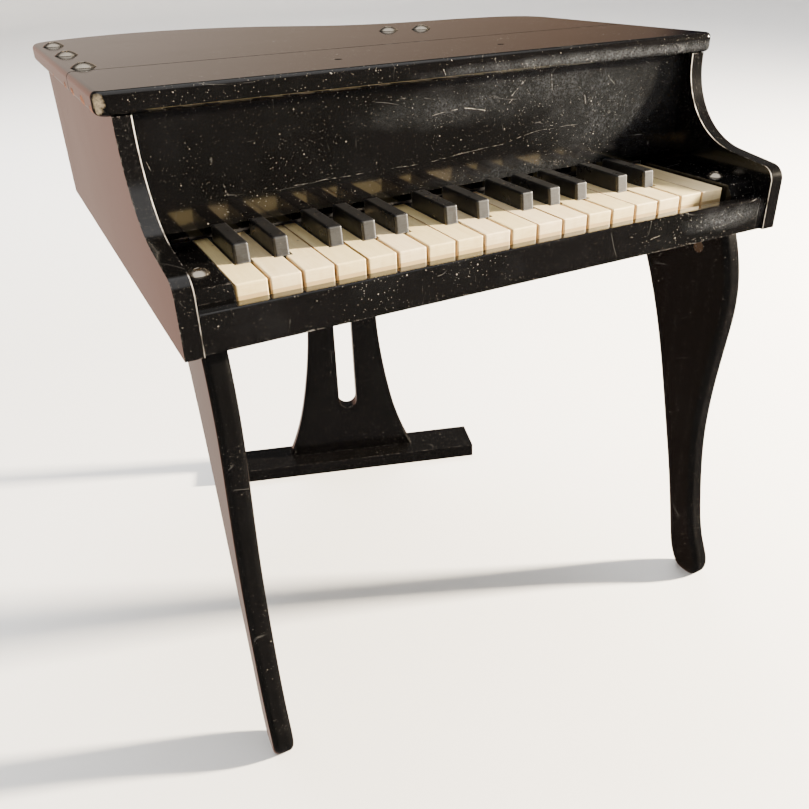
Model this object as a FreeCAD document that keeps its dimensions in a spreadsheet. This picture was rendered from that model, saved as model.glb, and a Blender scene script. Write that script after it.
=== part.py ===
"""Miniature grand piano: a toy grand, 502 wide, 524 deep, 492 to the lid and 496 to its bolt heads.

Frame: X to the player's right, Y away from the player, Z up from the floor.
The origin is the centre of the plan, on the floor. All sizes are millimetres.
"""
import FreeCAD, Part
import math
import os
import Sketcher

doc = FreeCAD.newDocument("grand_piano")

# ---------------------------------------------------------------- driving dimensions
DIMENSIONS = {
    # case
    "panel_inner": 229.5,        # inner face of each side panel, from the middle
    "panel_outer": 241.7,        # outer face of each side panel
    "case_front": -250.0,
    "case_bottom": 353.5,
    "case_top": 477.0,
    "floor_level": 354.0,        # underside of the bottom board, rail and blocks
    "board_thick": 6.0,          # bottom board
    "cheek_corner": 12.0,        # rounding of a side panel's front corner
    "cheek_slope": 8.0,          # rise of the arm, in degrees
    "cheek_sweep": 65.0,         # radius of the sweep up to the lid
    "cheek_nose": 391.0,         # height at which the front corner starts to round
    "neck_front": -149.0,        # front of a side panel just under the lid
    # lid outline, seen from above
    "lid_half": 251.0,
    "lid_front_edge": -150.0,
    "lid_seam": -35.6,
    "seam_gap": 0.9,
    "lid_thick": 15.0,
    "lid_nose": 4.2,             # rounding of the lid's edges
    "lid_corner": 8.5,          # rounding of the front corners in plan
    "case_inset": 9.3,           # lid overhang
    "tail_y": 262.0,
    "tail_x": -135.0,
    "tail_radius": 195.0,
    "tail_corner": 32.0,
    "bend_radius": 160.0,
    "bend_angle": 40.0,
    "bend_x": 130.0,
    "bend_y": 148.0,
    "shoulder_radius": 270.0,
    "shoulder_corner": 50.0,
    # front rail, fallboard and end blocks
    "rail_front": -248.0,
    "rail_thick": 11.5,
    "rail_top": 379.7,
    "rail_round": 1.8,
    "fall_front": -139.0,
    "fall_thick": 9.0,
    "fall_bottom": 397.0,
    "block_inner": 203.0,
    "block_back": -137.0,
    "block_top": 389.3,
    "block_bevel": 5.0,
    # keys
    "key_pitch": 22.367,
    "key_gap": 1.7,
    "key_front": -228.8,
    "key_back": -32.0,
    "key_top": 386.8,
    "key_thick": 15.0,
    "key_round": 1.1,
    "notch_front": -195.2,
    "black_front": -193.2,
    "black_end": -140.5,
    "black_top": 399.3,
    "black_width": 11.0,
    "black_round": 1.5,
    "black_corner": 2.0,         # rounding of a black key's upright front corners
    "black_nose": 8.0,           # how far a raised block stands ahead of its lever
    "black_seat": 0.4,           # how far a raised block reaches below the white keys' tops
    "black_lean": 1.8,          # how far a black key's front face leans back
    "black_slack": 1.0,          # sideways room beside a black key
    "shift_c_sharp": -5.1,       # black key centre from the joint between its whites
    "shift_d_sharp": -0.4,
    "shift_f_sharp": -6.2,
    "shift_g_sharp": -3.6,
    "shift_a_sharp": -0.4,
    # key action
    "pivot_y": -110.0,
    "pivot_z": 379.3,
    "pivot_rod": 1.5,            # radius of the pivot rod
    "pivot_play": 0.05,
    "bracket_inner": 203.6,
    "bracket_thick": 10.0,
    "bracket_depth": 18.0,
    "rest_front": -55.0,
    "rest_depth": 18.0,
    "felt_gap": 0.3,
    "rest_felt": 2.2,
    "front_felt": 4.5,
    "front_felt_depth": 22.0,
    "front_felt_start": -226.0,
    "stop_depth": 14.0,
    "stop_felt": 2.4,
    "stop_height": 12.0,
    "hammer_y": -42.0,
    "hammer_radius": 3.5,
    "hammer_tall": 15.0,
    "strike_gap": 4.7,
    "wire_radius": 1.6,          # tone rods
    "wire_root": -66.0,
    "wire_short": 60.0,
    "wire_long": 250.0,
    "clamp_front": -70.0,
    "clamp_side": 12.0,
    "clamp_half": 212.0,
    "bridge_front": -88.0,
    "bridge_depth": 18.0,
    "bridge_bottom": 396.0,
    "bridge_top": 440.0,
    # front legs
    "leg_plane": 214.0,          # middle of the leg board, square to it, from the middle
    "leg_splay": 3.5,            # degrees
    "leg_thick": 17.0,
    "leg_round": 5.0,
    "nut_down": 24.0,            # barrel nut below the top of a leg
    "nut_radius": 5.0,
    "nut_length": 16.0,
    "front_bolt_x": 216.4,
    "front_bolt_y": -204.8,
    # rear leg
    "rear_x": 0.6,
    "rear_y": 106.6,             # middle of the rear leg plate's front face
    "rear_turn": -17.45,         # degrees
    "rear_thick": 15.7,
    "bar_half": 150.0,
    "bar_depth": 46.0,
    "bar_tall": 15.7,
    "bar_ahead": 21.5,           # bar's front face ahead of the plate's
    "slot_half": 10.5,
    "slot_bottom": 76.4,
    "slot_top": 318.0,
    "rear_round": 2.5,
    "rear_bolt_half": 24.0,
    # fasteners
    "big_head": 9.3,            # lid bolts: head radius
    "big_rise": 4.0,
    "small_head": 7.4,           # leg bolts: head radius
    "small_rise": 3.6,
    "shank_radius": 3.0,
    "hex_big": 3.4,
    "hex_small": 2.6,
    "hex_depth": 2.6,
    "lid_bolt_x": -235.6,
    "lid_bolt_long": 42.0,
    "brace_long": 64.0,
    "brace_thick": 16.0,
    "brace_x": 72.7,
    "brace_y": 70.3,
    "brace_pitch": 31.9,
    "socket_radius": 3.0,        # music rack sockets
    "socket_x": 70.0,
    "socket_y": -101.5,
    "socket_deep": 10.0,
}

sheet = doc.addObject("Spreadsheet::Sheet", "params")
for row, (alias, number) in enumerate(DIMENSIONS.items(), start=1):
    sheet.set(f"A{row}", alias)
    sheet.set(f"B{row}", str(number))
    sheet.setAlias(f"B{row}", alias)
doc.recompute()


def size(alias):
    """A driving dimension, as a number."""
    return float(getattr(sheet, alias))


def formula(text):
    """Turn "{alias}" into the sheet's cell, in an expression."""
    return text.replace("{", "params.").replace("}", "")


def value(text):
    """What an expression comes to, as a number."""
    return float(sheet.evalExpression(formula(text)))


def bind(thing, **properties):
    """Bind properties to expressions: double underscores stand for dots."""
    for name, text in properties.items():
        thing.setExpression(name.replace("__", "."), formula(text))


kept = {}


def keep(thing, node):
    """Give a finished sub-part its label, which names its file."""
    thing.Label = node
    kept[node] = thing
    return thing


# ---------------------------------------------------------------- building blocks
def box(name, low, lengths):
    """A rectangular block from its low corner and its lengths, all expressions."""
    block = doc.addObject("Part::Box", name)
    bind(block, Placement__Base__x=low[0], Placement__Base__y=low[1], Placement__Base__z=low[2],
         Length=lengths[0], Width=lengths[1], Height=lengths[2])
    return block


def rod(name, base, radius, length, direction=(0, 0, 1)):
    """A round rod from the middle of its end, along a direction."""
    bar = doc.addObject("Part::Cylinder", name)
    bar.Placement.Rotation = FreeCAD.Rotation(FreeCAD.Vector(0, 0, 1), FreeCAD.Vector(*direction))
    bind(bar, Placement__Base__x=base[0], Placement__Base__y=base[1], Placement__Base__z=base[2],
         Radius=radius, Height=length)
    return bar


def cut(name, base, tool):
    result = doc.addObject("Part::Cut", name)
    result.Base = base
    result.Tool = tool
    return result


def fuse(name, pieces):
    result = doc.addObject("Part::MultiFuse", name)
    result.Shapes = pieces
    return result


def group(name, pieces):
    """Separate solids in one node."""
    result = doc.addObject("Part::Compound", name)
    result.Links = pieces
    return result


def rounded(name, base, radius, test):
    """Round the edges whose middle passes the test."""
    doc.recompute()
    result = doc.addObject("Part::Fillet", name)
    result.Base = base
    chosen = [n for n, edge in enumerate(base.Shape.Edges, start=1) if test(middle(edge))]
    result.Edges = [(n, size(radius), size(radius)) for n in chosen]
    return result


def middle(edge):
    return edge.valueAt(0.5 * (edge.FirstParameter + edge.LastParameter))


def body_plane(body, role):
    return next(f for f in body.Origin.OriginFeatures if f.Role == role)


def new_body(name):
    return doc.addObject("PartDesign::Body", name)


def sketch_on(body, name, role, lift="0"):
    """A sketch on one of the body's own planes, lifted along its normal."""
    sketch = body.newObject("Sketcher::SketchObject", name)
    sketch.AttachmentSupport = (body_plane(body, role), [""])
    sketch.MapMode = "FlatFace"
    bind(sketch, AttachmentOffset__Base__z=lift)
    return sketch


def bound_polygon(sketch, corners):
    """A closed polygon whose corners are pairs of expressions, each one constrained."""
    points = [FreeCAD.Vector(value(x), value(y), 0) for x, y in corners]
    last = len(points) - 1
    for n, point in enumerate(points):
        sketch.addGeometry(Part.LineSegment(point, points[(n + 1) % len(points)]), False)
    for n in range(len(points)):
        sketch.addConstraint(Sketcher.Constraint("Coincident", n, 2, (n + 1) if n < last else 0, 1))
    for n, (x, y) in enumerate(corners):
        for kind, text, number in (("DistanceX", x, points[n].x), ("DistanceY", y, points[n].y)):
            index = sketch.addConstraint(Sketcher.Constraint(kind, -1, 1, n, 1, number))
            sketch.setExpression(f"Constraints[{index}]", formula(text))
    return sketch


def free_outline(sketch, curves):
    """An outline of lines, arcs and curves that meet end to end."""
    for curve in curves:
        sketch.addGeometry(curve, False)
    return sketch


def pad(body, sketch, length, middle_plane=False):
    feature = body.newObject("PartDesign::Pad", sketch.Name + "_pad")
    feature.Profile = sketch
    bind(feature, Length=length)
    feature.Midplane = middle_plane
    sketch.Visibility = False
    return feature


def pocket(body, sketch, through=True, length="1"):
    feature = body.newObject("PartDesign::Pocket", sketch.Name + "_pocket")
    feature.Profile = sketch
    if through:
        feature.Type = 1
        feature.Midplane = True
    else:
        bind(feature, Length=length)
    return feature


def round_edges(body, name, feature, radius, test):
    """Round those edges of the body's last feature whose middle passes the test."""
    doc.recompute()
    chosen = [f"Edge{n}" for n, edge in enumerate(feature.Shape.Edges, start=1) if test(middle(edge))]
    fillet = body.newObject("PartDesign::Fillet", name)
    fillet.Base = (feature, chosen)
    bind(fillet, Radius=radius)
    return fillet


def near(a, b, slack=0.05):
    return abs(a - b) < slack


# ---------------------------------------------------------------- the grand outline
def point(x, y):
    return FreeCAD.Vector(x, y, 0)


def polar(centre, radius, degrees):
    angle = math.radians(degrees)
    return point(centre[0] + radius * math.cos(angle), centre[1] + radius * math.sin(angle))


def arc(centre, radius, start, end):
    """An arc between two angles in degrees, through the one halfway."""
    return Part.Arc(polar(centre, radius, start), polar(centre, radius, 0.5 * (start + end)),
                    polar(centre, radius, end))


def grand_curve(inset):
    """The curved part of the plan, from the right side round the tail to the left side.

    Every arc is tangent to the next one; inset shrinks the whole outline.
    """
    side = size("lid_half")
    corner = size("shoulder_corner")
    shoulder = size("shoulder_radius")
    bend = size("bend_radius")
    turn = size("bend_angle")
    tail = size("tail_radius")
    tail_corner = size("tail_corner")
    bend_foot = (size("bend_x"), size("bend_y"))
    shoulder_centre = (bend_foot[0], bend_foot[1] - shoulder)
    corner_x = side - corner
    reach = shoulder - corner
    corner_centre = (corner_x, shoulder_centre[1] + math.sqrt(reach ** 2 - (corner_x - bend_foot[0]) ** 2))
    meet = math.degrees(math.atan2(corner_centre[1] - shoulder_centre[1], corner_x - bend_foot[0]))
    bend_centre = (bend_foot[0], bend_foot[1] + bend)
    tail_centre = (size("tail_x"), size("tail_y") - tail)
    tail_corner_x = tail_corner - side
    span = tail - tail_corner
    drop = math.sqrt(span ** 2 - (tail_corner_x - tail_centre[0]) ** 2)
    tail_corner_centre = (tail_corner_x, tail_centre[1] + drop)
    tail_meet = math.degrees(math.atan2(drop, tail_corner_x - tail_centre[0]))
    curves = [
        arc(corner_centre, corner - inset, 0, meet),
        arc(shoulder_centre, shoulder - inset, meet, 90),
        arc(bend_centre, bend + inset, 270, 270 - turn),
    ]
    bend_end = polar(bend_centre, bend + inset, 270 - turn)
    tail_start = polar(tail_centre, tail - inset, 90 - turn)
    curves += [
        Part.LineSegment(bend_end, tail_start),
        arc(tail_centre, tail - inset, 90 - turn, tail_meet),
        arc(tail_corner_centre, tail_corner - inset, tail_meet, 180),
    ]
    return curves, corner_centre[1], tail_corner_centre[1]


right_end = grand_curve(0)[1]
left_end = grand_curve(0)[2]


# ---------------------------------------------------------------- case
def side_panel(side, name):
    """A board with a low arm in front that sweeps up to the lid."""
    body = new_body(name)
    start = "{panel_inner}" if side > 0 else "-{panel_outer}"
    sketch = sketch_on(body, name + "_profile", "YZ_Plane", start)
    back = right_end if side > 0 else left_end
    front = size("case_front")
    low = size("case_bottom")
    high = size("case_top")
    neck = size("neck_front")
    sweep = size("cheek_sweep")
    slope = size("cheek_slope")
    corner = size("cheek_corner")
    nose = (front + corner, size("cheek_nose"))
    nose_end = polar(nose, corner, 90 + slope)
    # the arm's straight top runs at the slope until it meets the sweep
    rise = math.tan(math.radians(slope))
    sweep_x = neck - sweep
    arm_x = sweep_x + sweep * math.sin(math.radians(slope))
    arm_z = nose_end.y + (arm_x - nose_end.x) * rise
    sweep_centre = (sweep_x, arm_z + sweep * math.cos(math.radians(slope)))
    arm_end = point(arm_x, arm_z)
    neck_foot = point(neck, sweep_centre[1])
    curves = [
        Part.LineSegment(point(front, low), point(front, nose[1])),
        arc(nose, corner, 180, 90 + slope),
        Part.LineSegment(nose_end, arm_end),
        arc(sweep_centre, sweep, slope - 90, 0),
        Part.LineSegment(neck_foot, point(neck, high)),
        Part.LineSegment(point(neck, high), point(back, high)),
        Part.LineSegment(point(back, high), point(back, low)),
        Part.LineSegment(point(back, low), point(front, low)),
    ]
    free_outline(sketch, curves)
    pad(body, sketch, "{panel_outer}-{panel_inner}")
    return keep(body, name)


side_panel(-1, "side_panel_left")
side_panel(1, "side_panel_right")


def plan_body(name, role_lift, curves, height):
    """A piece drawn from above and raised."""
    body = new_body(name)
    sketch = sketch_on(body, name + "_plan", "XY_Plane", role_lift)
    free_outline(sketch, curves)
    feature = pad(body, sketch, height)
    return body, feature


def curved_wall():
    """The bent wall round the tail, as thick as the side panels."""
    outer = grand_curve(size("case_inset"))[0]
    inner = grand_curve(size("lid_half") - size("panel_inner"))[0]
    inner_side = size("panel_inner")
    outer_side = size("panel_outer")
    ends = [
        Part.LineSegment(point(inner_side, right_end), point(outer_side, right_end)),
        Part.LineSegment(point(-inner_side, left_end), point(-outer_side, left_end)),
    ]
    body = plan_body("curved_wall", "{case_bottom}", outer + inner + ends, "{case_top}-{case_bottom}")[0]
    return keep(body, "curved_wall")


curved_wall()


def inner_floor(inset, front, side):
    """The plan inside the case walls, from a straight front edge."""
    curves = grand_curve(inset)[0]
    return curves + [
        Part.LineSegment(point(-side, left_end), point(-side, front)),
        Part.LineSegment(point(-side, front), point(side, front)),
        Part.LineSegment(point(side, front), point(side, right_end)),
    ]


wall_inset = size("lid_half") - size("panel_inner")
rail_back = size("rail_front") + size("rail_thick")
board_plan = inner_floor(wall_inset, rail_back, size("panel_inner"))
bottom = plan_body("bottom_board_blank", "{floor_level}", board_plan, "{board_thick}")[0]


rail = box("rail_blank", ("-{panel_inner}", "{rail_front}", "{floor_level}"),
           ("2*{panel_inner}", "{rail_thick}", "{rail_top}-{floor_level}"))
keep(rounded("rail_rounded", rail, "rail_round",
             lambda at: near(at.z, size("rail_top")) and near(at.x, 0)), "front_rail")

keep(box("fallboard_panel", ("-{panel_inner}", "{fall_front}", "{fall_bottom}"),
         ("2*{panel_inner}", "{fall_thick}", "{case_top}-{fall_bottom}")), "fallboard")

block_floor = "{floor_level}+{board_thick}"


def end_block(side, name):
    """The block beside the keys, bevelled in front and bored for its leg bolt."""
    start = "{block_inner}" if side > 0 else "-{panel_inner}"
    body = new_body(name + "_body")
    sketch = sketch_on(body, name + "_profile", "YZ_Plane", start)
    front = "{rail_front}+{rail_thick}"
    bound_polygon(sketch, [
        (front, block_floor),
        (front, "{block_top}-{block_bevel}*1.6"),
        (front + "+{block_bevel}", "{block_top}"),
        ("{block_back}", "{block_top}"),
        ("{block_back}", block_floor),
    ])
    pad(body, sketch, "{panel_inner}-{block_inner}")
    hole = rod(name + "_bore", (f"{side}*{{front_bolt_x}}", "{front_bolt_y}", "{floor_level}"),
               "{shank_radius}+0.2", "60")
    return keep(cut(name + "_bored", body, hole), name)


end_block(-1, "end_block_left")
end_block(1, "end_block_right")


# ---------------------------------------------------------------- fasteners
def dome_bolt(name, x, y, seat, length, head, rise, hexagon):
    """A dome head with a hex socket on a plain shank that points down."""
    ball = f"(({head}*{head}+{rise}*{rise})/(2*{rise}))"
    dome = doc.addObject("Part::Sphere", name + "_head")
    bind(dome, Placement__Base__x=x, Placement__Base__y=y, Placement__Base__z=f"{seat}+{rise}-{ball}",
         Radius=ball, Angle1=f"asin(({ball}-{rise})/{ball})")
    shank = rod(name + "_shank", (x, y, f"{seat}-({length})"), "{shank_radius}", length)
    socket = doc.addObject("Part::Prism", name + "_socket")
    socket.Polygon = 6
    bind(socket, Placement__Base__x=x, Placement__Base__y=y,
         Placement__Base__z=f"{seat}+{rise}-{{hex_depth}}", Circumradius=hexagon, Height="10")
    return cut(name, fuse(name + "_solid", [dome, shank]), socket)


def turned(angle, along, ahead=0.0):
    """Plan offsets along a direction turned about Z, and ahead of it (towards the player)."""
    radians = math.radians(angle)
    return (along * math.cos(radians) + ahead * math.sin(radians),
            along * math.sin(radians) - ahead * math.cos(radians))


leg_bolt_length = "{block_top}-{floor_level}+{nut_down}+6"
keep(group("leg_bolt_pair", [
    dome_bolt(f"leg_bolt_{tag}", f"{side}*{{front_bolt_x}}", "{front_bolt_y}", "{block_top}",
              leg_bolt_length, "{small_head}", "{small_rise}", "{hex_small}")
    for side, tag in ((-1, "left"), (1, "right"))]), "leg_bolts")


# ---------------------------------------------------------------- front legs
def smooth(points):
    """A smooth curve through the points."""
    curve = Part.BSplineCurve()
    curve.interpolate([point(*p) for p in points])
    return curve


# cabriole outline, down the front, round the toe and up the back: distance along the board and height
LEG_OUTLINE = [(-89, 354), (-94, 343), (-99.5, 327), (-105.2, 295), (-103, 250), (-98.3, 200), (-97.5, 148),
               (-105.5, 82), (-118, 34), (-124.8, 10), (-119.5, -0.2), (-110.5, -1.6), (-101, -0.2),
               (-93.5, 8), (-84, 38), (-72, 96), (-56, 160), (-38.5, 225), (-17, 286), (20, 354)]


def front_leg(side, name):
    """A shaped board, turned so that its toe points a little outwards."""
    body = new_body(name + "_body")
    sketch = sketch_on(body, name + "_profile", "YZ_Plane")
    free_outline(sketch, [
        smooth(LEG_OUTLINE),
        Part.LineSegment(point(*LEG_OUTLINE[-1]), point(*LEG_OUTLINE[0])),
    ])
    feature = pad(body, sketch, "{leg_thick}", True)
    half = 0.5 * size("leg_thick")
    top = size("floor_level")
    round_edges(body, name + "_round", feature, "{leg_round}",
                lambda at: near(abs(at.x), half) and at.z < top - 6)
    splay = math.radians(side * size("leg_splay"))
    plane = side * size("leg_plane")
    body.Placement = FreeCAD.Placement(
        FreeCAD.Vector(plane * math.cos(splay), plane * math.sin(splay) + size("lid_front_edge"), 0),
        FreeCAD.Rotation(FreeCAD.Vector(0, 0, 1), side * size("leg_splay")))
    bolt_hole = rod(name + "_bolt_bore", (f"{side}*{{front_bolt_x}}", "{front_bolt_y}",
                    "{floor_level}-{nut_down}-8"), "{shank_radius}+0.2", "40")
    nut_hole = barrel(name + "_nut_bore", side * size("front_bolt_x"), size("front_bolt_y"),
                      side * size("leg_splay"), -side, "{nut_radius}+0.05", "{nut_length}+0.3")
    under = box(name + "_under_floor", ("-300", "-300", "-10"), ("600", "600", "10"))
    bored = cut(name + "_bored", body, group(name + "_bores", [bolt_hole, nut_hole, under]))
    return keep(bored, name)


def barrel(name, x, y, turn, way, radius, length):
    """A round bar square to a leg board, flush with the board's face on the side it leaves."""
    radians = math.radians(turn)
    normal = (math.cos(radians), math.sin(radians))
    # distance from the bolt's axis to the board's face, square to the board
    offset = x * normal[0] + (y - size("lid_front_edge")) * normal[1]
    face = abs(size("leg_plane")) * (1 if x > 0 else -1) + way * 0.5 * size("leg_thick")
    reach = face - offset
    bar = rod(name, (str(x + reach * normal[0]), str(y + reach * normal[1]), "{floor_level}-{nut_down}"),
              radius, length, (-way * normal[0], -way * normal[1], 0))
    return bar


front_leg(-1, "front_leg_left")
front_leg(1, "front_leg_right")


# ---------------------------------------------------------------- rear leg
rear_turn = size("rear_turn")


def rear_place(along, ahead):
    """A plan point given along the rear leg's width and ahead of its front face."""
    dx, dy = turned(rear_turn, along, ahead)
    return size("rear_x") + dx, size("rear_y") + dy


# right half of the rear leg's outline: half width and height
REAR_EDGE = [(76, 15.7), (60, 58), (49, 107), (42, 156), (39.5, 190), (42, 250), (52, 310), (62, 354)]


def rear_leg():
    """A waisted plate with a long slot, flat on its foot bar."""
    body = new_body("rear_leg_body")
    sketch = sketch_on(body, "rear_leg_profile", "XZ_Plane")
    left_edge = [(-u, z) for u, z in reversed(REAR_EDGE)]
    top = REAR_EDGE[-1]
    foot = REAR_EDGE[0]
    free_outline(sketch, [
        smooth(REAR_EDGE),
        Part.LineSegment(point(*top), point(-top[0], top[1])),
        smooth(left_edge),
        Part.LineSegment(point(-foot[0], foot[1]), point(*foot)),
    ])
    plate = pad(body, sketch, "{rear_thick}")
    plate.Reversed = True
    slot = sketch_on(body, "rear_leg_slot", "XZ_Plane")
    half = size("slot_half")
    low = size("slot_bottom") + half
    high = size("slot_top") - half
    free_outline(slot, [
        arc((0, low), half, 180, 360),
        Part.LineSegment(point(half, low), point(half, high)),
        arc((0, high), half, 0, 180),
        Part.LineSegment(point(-half, high), point(-half, low)),
    ])
    cut_slot = pocket(body, slot)
    ends = (foot[1], top[1])
    round_edges(body, "rear_leg_round", cut_slot, "{rear_round}",
                lambda at: abs(at.y) < 0.01 + size("rear_thick")
                and not near(at.y, 0.5 * size("rear_thick"), 2)
                and abs(at.x) > 20 and not any(near(at.z, end, 0.5) for end in ends))
    body.Placement = FreeCAD.Placement(FreeCAD.Vector(size("rear_x"), size("rear_y"), 0),
                                       FreeCAD.Rotation(FreeCAD.Vector(0, 0, 1), rear_turn))
    return body


def square_bar(name, length, depth, low, tall, along, ahead):
    """A rectangular bar turned with the rear leg."""
    bar = doc.addObject("Part::Box", name)
    bind(bar, Length=length, Width=depth, Height=tall)
    x, y = rear_place(along, ahead)
    bar.Placement = FreeCAD.Placement(FreeCAD.Vector(x, y, 0),
                                      FreeCAD.Rotation(FreeCAD.Vector(0, 0, 1), rear_turn))
    bind(bar, Placement__Base__z=low)
    return bar


rear_plate = rear_leg()
foot_bar = square_bar("foot_bar_blank", "2*{bar_half}", "{bar_depth}", "0", "{bar_tall}",
                      -size("bar_half"), size("bar_ahead"))
rear_middle = -0.5 * size("rear_thick")
rear_bolt_spots = [rear_place(side * size("rear_bolt_half"), rear_middle) for side in (-1, 1)]
screw_spots = [rear_place(side * 1.7 * size("rear_bolt_half"), rear_middle) for side in (-1, 1)]
board_top = "({floor_level}+{board_thick})"
rear_bolts = []
rear_nuts = []
rear_bores = []
screws = []
bar_bores = []
for tag, (bolt_x, bolt_y), (screw_x, screw_y) in zip(("left", "right"), rear_bolt_spots, screw_spots):
    bx, by, sx, sy = (str(number) for number in (bolt_x, bolt_y, screw_x, screw_y))
    rear_bolts.append(dome_bolt(f"rear_bolt_{tag}", bx, by, board_top, "{board_thick}+{nut_down}+6",
                                "{small_head}", "{small_rise}", "{hex_small}"))
    bolt_hole = rod(f"rear_bolt_bore_{tag}", (bx, by, "{floor_level}-{nut_down}-8"),
                    "{shank_radius}+0.2", "40")
    face_dx, face_dy = turned(rear_turn, 0, 0.5 * size("rear_thick"))
    inward = (-face_dx, -face_dy, 0)
    nut_base = (str(bolt_x + face_dx), str(bolt_y + face_dy), "{floor_level}-{nut_down}")
    rear_nuts.append(rod(f"rear_nut_{tag}", nut_base, "{nut_radius}", "{rear_thick}-1.5", inward))
    nut_hole = rod(f"rear_nut_bore_{tag}", nut_base, "{nut_radius}+0.05", "{rear_thick}-1.2", inward)
    screw = doc.addObject("Part::Cone", f"foot_screw_head_{tag}")
    bind(screw, Placement__Base__x=sx, Placement__Base__y=sy, Placement__Base__z="1",
         Radius1="4.5", Radius2="2", Height="3")
    screw_shank = rod(f"foot_screw_shank_{tag}", (sx, sy, "3"), "2", "38")
    screws.append(fuse(f"foot_screw_{tag}", [screw, screw_shank]))
    wide = rod(f"foot_screw_sink_{tag}", (sx, sy, "-1"), "4.7", "5.2")
    narrow = rod(f"foot_screw_bore_{tag}", (sx, sy, "-1"), "2.1", "43")
    rear_bores += [bolt_hole, nut_hole, rod(f"rear_screw_bore_{tag}", (sx, sy, "0"), "2.05", "41.5")]
    bar_bores += [wide, narrow]
keep(cut("rear_leg_bored", rear_plate, fuse("rear_leg_bores", rear_bores)), "rear_leg")
keep(cut("foot_bar_bored", foot_bar, fuse("foot_bar_bores", bar_bores)), "rear_foot_bar")
keep(group("rear_bolt_pair", rear_bolts), "rear_leg_bolts")
keep(group("foot_screw_pair", screws), "foot_bar_screws")

front_nuts = [barrel(f"leg_nut_{tag}", side * size("front_bolt_x"), size("front_bolt_y"),
                     side * size("leg_splay"), -side, "{nut_radius}", "{nut_length}")
              for side, tag in ((-1, "left"), (1, "right"))]
nut_cores = [rod(f"nut_thread_{n}", (str(x), str(y), "{floor_level}-{nut_down}-8"),
                 "{shank_radius}+0.02", "40")
             for n, (x, y) in enumerate([(-size("front_bolt_x"), size("front_bolt_y")),
                                         (size("front_bolt_x"), size("front_bolt_y"))] + rear_bolt_spots)]
keep(group("barrel_nut_set", [cut(f"barrel_nut_{n}", nut, core)
                              for n, (nut, core) in enumerate(zip(front_nuts + rear_nuts, nut_cores))]),
     "barrel_nuts")

# the bottom board takes the leg bolts, the rear bolts and nothing else
board_bores = [rod("board_bore_left", ("-{front_bolt_x}", "{front_bolt_y}", "{floor_level}-2"),
                   "{shank_radius}+0.2", "20"),
               rod("board_bore_right", ("{front_bolt_x}", "{front_bolt_y}", "{floor_level}-2"),
                   "{shank_radius}+0.2", "20")]
board_bores += [rod(f"board_bore_rear_{n}", (str(x), str(y), "{floor_level}-2"), "{shank_radius}+0.2", "20")
                for n, (x, y) in enumerate(rear_bolt_spots)]
keep(cut("bottom_board_bored", bottom, fuse("board_bores", board_bores)), "bottom_board")


# ---------------------------------------------------------------- lid
def lid_edge_test(seam):
    """Every edge of the lid's two faces, except those along the seam."""
    low = size("case_top")
    high = low + size("lid_thick")
    return lambda at: (near(at.z, low) or near(at.z, high)) and abs(at.y - seam) > 0.5


seam_front = size("lid_seam") - 0.5 * size("seam_gap")
seam_back = size("lid_seam") + 0.5 * size("seam_gap")
half_width = size("lid_half")
lid_edge = size("lid_front_edge")
corner = size("lid_corner")
left_corner = (corner - half_width, lid_edge + corner)
right_corner = (half_width - corner, lid_edge + corner)
front_plan = [
    Part.LineSegment(point(-half_width, seam_front), point(-half_width, left_corner[1])),
    arc(left_corner, corner, 180, 270),
    Part.LineSegment(point(left_corner[0], lid_edge), point(right_corner[0], lid_edge)),
    arc(right_corner, corner, 270, 360),
    Part.LineSegment(point(half_width, right_corner[1]), point(half_width, seam_front)),
    Part.LineSegment(point(half_width, seam_front), point(-half_width, seam_front)),
]
front_body, front_pad = plan_body("lid_front_body", "{case_top}", front_plan, "{lid_thick}")
round_edges(front_body, "lid_front_round", front_pad, "{lid_nose}", lid_edge_test(seam_front))
sockets = [rod(f"rack_socket_{n}", (f"{side}*{{socket_x}}", "{socket_y}",
           "{case_top}+{lid_thick}-{socket_deep}"), "{socket_radius}", "20")
           for n, side in enumerate((-1, 1))]
keep(cut("lid_front_bored", front_body, fuse("rack_sockets", sockets)), "lid_front")

rear_plan = inner_floor(0, seam_back, half_width)
rear_body, rear_pad = plan_body("lid_rear_body", "{case_top}", rear_plan, "{lid_thick}")
round_edges(rear_body, "lid_rear_round", rear_pad, "{lid_nose}", lid_edge_test(seam_back))

lid_seat = "({case_top}+{lid_thick})"
LEFT_BOLTS = (-13.0, 82.0, 172.0)
bolt_spots = [(size("lid_bolt_x"), y) for y in LEFT_BOLTS]
for side in (-0.5, 0.5):
    dx, dy = turned(rear_turn, side * size("brace_pitch"))
    bolt_spots.append((size("brace_x") + dx, size("brace_y") + dy))
keep(group("lid_bolt_set", [
    dome_bolt(f"lid_bolt_{n}", str(x), str(y), lid_seat, "{lid_bolt_long}", "{big_head}", "{big_rise}",
              "{hex_big}") for n, (x, y) in enumerate(bolt_spots)]), "lid_bolts")
bolt_bores = [rod(f"lid_bore_{n}", (str(x), str(y), lid_seat + "-{lid_bolt_long}-1"),
                  "{shank_radius}+0.1", "60") for n, (x, y) in enumerate(bolt_spots)]
keep(cut("lid_rear_bored", rear_body, fuse("lid_bores", bolt_bores)), "lid_rear")

# the left panel's top edge takes three of the lid bolts
panel_bores = [rod(f"panel_bore_{n}", (str(x), str(y), lid_seat + "-{lid_bolt_long}-1"),
                   "{shank_radius}+0.1", "60") for n, (x, y) in enumerate(bolt_spots[:3])]
left_panel = kept["side_panel_left"]
left_panel.Label = "side_panel_left_blank"
keep(cut("side_panel_left_bored", left_panel, fuse("panel_bores", panel_bores)), "side_panel_left")

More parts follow.
